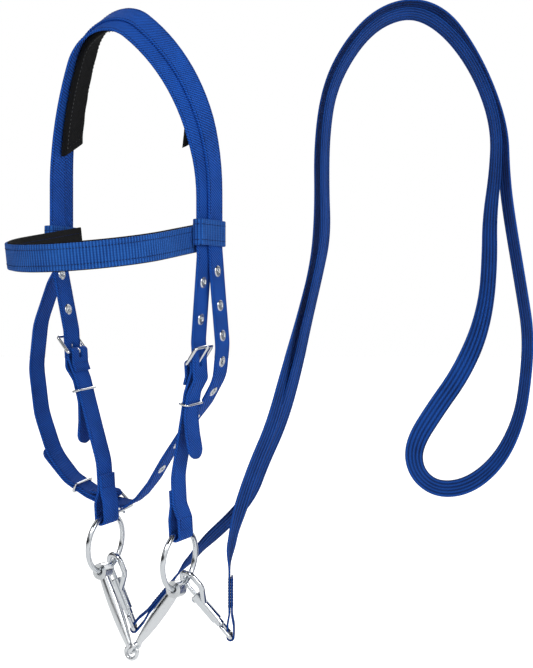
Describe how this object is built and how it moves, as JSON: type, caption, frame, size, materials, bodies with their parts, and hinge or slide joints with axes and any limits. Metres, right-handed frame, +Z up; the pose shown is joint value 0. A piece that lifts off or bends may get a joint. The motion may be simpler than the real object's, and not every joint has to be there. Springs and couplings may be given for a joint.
{
  "type": "head halter",
  "caption": "Webbing bridle with padded poll, browband, buckled cheek pieces and throatlatch, a jointed loose-ring bit and a rein clipped on with bolt snaps.",
  "frame": {"origin": "on the centre plane between the cheek pieces, level with the top of the poll pad's underside", "axes": "+Z up, -Y to the front where the browband is, +X to the side the rein hangs on"},
  "size_m": [0.4846, 0.3754, 0.6704],
  "materials": {
    "webbing": "woven blue nylon webbing",
    "ribbed_webbing": "cross-ribbed blue nylon webbing",
    "pad": "black padded knit fabric",
    "lining": "black fabric lining",
    "nickel_plate": "bright nickel plate",
    "eyelet_metal": "nickel-plated pressed brass",
    "satin_steel": "satin stainless steel",
    "spring_steel": "drawn spring wire"
  },
  "bodies": {
    "bridle": {"browband": "ribbed_webbing", "browband_lining": "lining", "browband_loop_left": "ribbed_webbing", "browband_loop_right": "ribbed_webbing", "buckle_frame_left": "nickel_plate", "buckle_frame_right": "nickel_plate", "buckle_frame_throat": "nickel_plate", "cheek_lower_left": "webbing", "cheek_lower_right": "webbing", "cheek_strap_left": "webbing", "cheek_strap_right": "webbing", "crown_strap": "webbing", "eyelets_left": "eyelet_metal", "eyelets_right": "eyelet_metal", "eyelets_throat": "eyelet_metal", "poll_pad": "pad", "rein": "webbing", "rein_end_left": "webbing", "rein_end_right": "webbing", "snap_body_left": "nickel_plate", "snap_body_right": "nickel_plate", "snap_eye_left": "nickel_plate", "snap_eye_right": "nickel_plate", "snap_spring_left": "spring_steel", "snap_spring_right": "spring_steel", "throat_crown": "webbing", "throatlatch_left": "webbing", "throatlatch_right": "webbing"},
    "tongue_left": {"buckle_tongue_left": "nickel_plate"},
    "tongue_right": {"buckle_tongue_right": "nickel_plate"},
    "tongue_throat": {"buckle_tongue_throat": "nickel_plate"},
    "keeper_left_loop": {"keeper_left": "nickel_plate"},
    "keeper_right_loop": {"keeper_right": "nickel_plate"},
    "keeper_throat_loop": {"keeper_throat": "nickel_plate"},
    "ring_left": {"bit_ring_left": "nickel_plate"},
    "ring_right": {"bit_ring_right": "nickel_plate"},
    "mouthpiece_left": {"bit_arm_left": "satin_steel"},
    "mouthpiece_right": {"bit_arm_right": "satin_steel"},
    "bolt_left": {"snap_bolt_left": "nickel_plate"},
    "bolt_right": {"snap_bolt_right": "nickel_plate"}
  },
  "joints": [
    {"name": "tongue_left_hinge", "type": "hinge", "parent": "bridle", "child": "tongue_left", "pos_m": [-0.071, 0.00201, -0.32456], "axis": [0, -0.9957, -0.0924], "range_deg": [0, 6]},
    {"name": "tongue_right_hinge", "type": "hinge", "parent": "bridle", "child": "tongue_right", "pos_m": [0.071, 0.00303, -0.33551], "axis": [0, 0.9957, 0.0924], "range_deg": [0, 6]},
    {"name": "tongue_throat_hinge", "type": "hinge", "parent": "bridle", "child": "tongue_throat", "pos_m": [-0.066, 0.0557, -0.47666], "axis": [0, 0.9833, 0.1822], "range_deg": [0, 6]},
    {"name": "keeper_left_slide", "type": "slide", "parent": "bridle", "child": "keeper_left_loop", "axis": [0.2216, 0.0901, -0.971], "range_m": [-0.004, 0.004]},
    {"name": "keeper_right_slide", "type": "slide", "parent": "bridle", "child": "keeper_right_loop", "axis": [-0.2216, 0.0901, -0.971], "range_m": [-0.004, 0.004]},
    {"name": "keeper_throat_slide", "type": "slide", "parent": "bridle", "child": "keeper_throat_loop", "axis": [-0.8669, -0.0909, 0.4902], "range_m": [-0.004, 0.004]},
    {"name": "ring_left_spin", "type": "hinge", "parent": "bridle", "child": "ring_left", "pos_m": [-0.04861, 0.02026, -0.52124], "axis": [0.9926, 0.0112, -0.1208], "continuous": true},
    {"name": "ring_right_spin", "type": "hinge", "parent": "bridle", "child": "ring_right", "pos_m": [0.04139, 0.02128, -0.5322], "axis": [0.9926, 0.0112, -0.1208], "continuous": true},
    {"name": "mouthpiece_left_swing", "type": "hinge", "parent": "bridle", "child": "mouthpiece_left", "pos_m": [-0.04861, 0.02026, -0.52124], "axis": [0.9926, 0.0112, -0.1208], "range_deg": [-80, 10]},
    {"name": "mouthpiece_right_swing", "type": "hinge", "parent": "bridle", "child": "mouthpiece_right", "pos_m": [0.04139, 0.02128, -0.5322], "axis": [0.9926, 0.0112, -0.1208], "range_deg": [-80, 10]},
    {"name": "bolt_left_slide", "type": "slide", "parent": "bridle", "child": "bolt_left", "axis": [0.311, 0.1806, -0.9331], "range_m": [0, 0.009], "stiffness_N_per_m": 250, "springref_m": -0.012},
    {"name": "bolt_right_slide", "type": "slide", "parent": "bridle", "child": "bolt_right", "axis": [0.56, 0.33, -0.76], "range_m": [0, 0.009], "stiffness_N_per_m": 250, "springref_m": -0.012}
  ],
  "couplings": [
    {"joint": "mouthpiece_right_swing", "follows": "mouthpiece_left_swing", "ratio": 1}
  ]
}
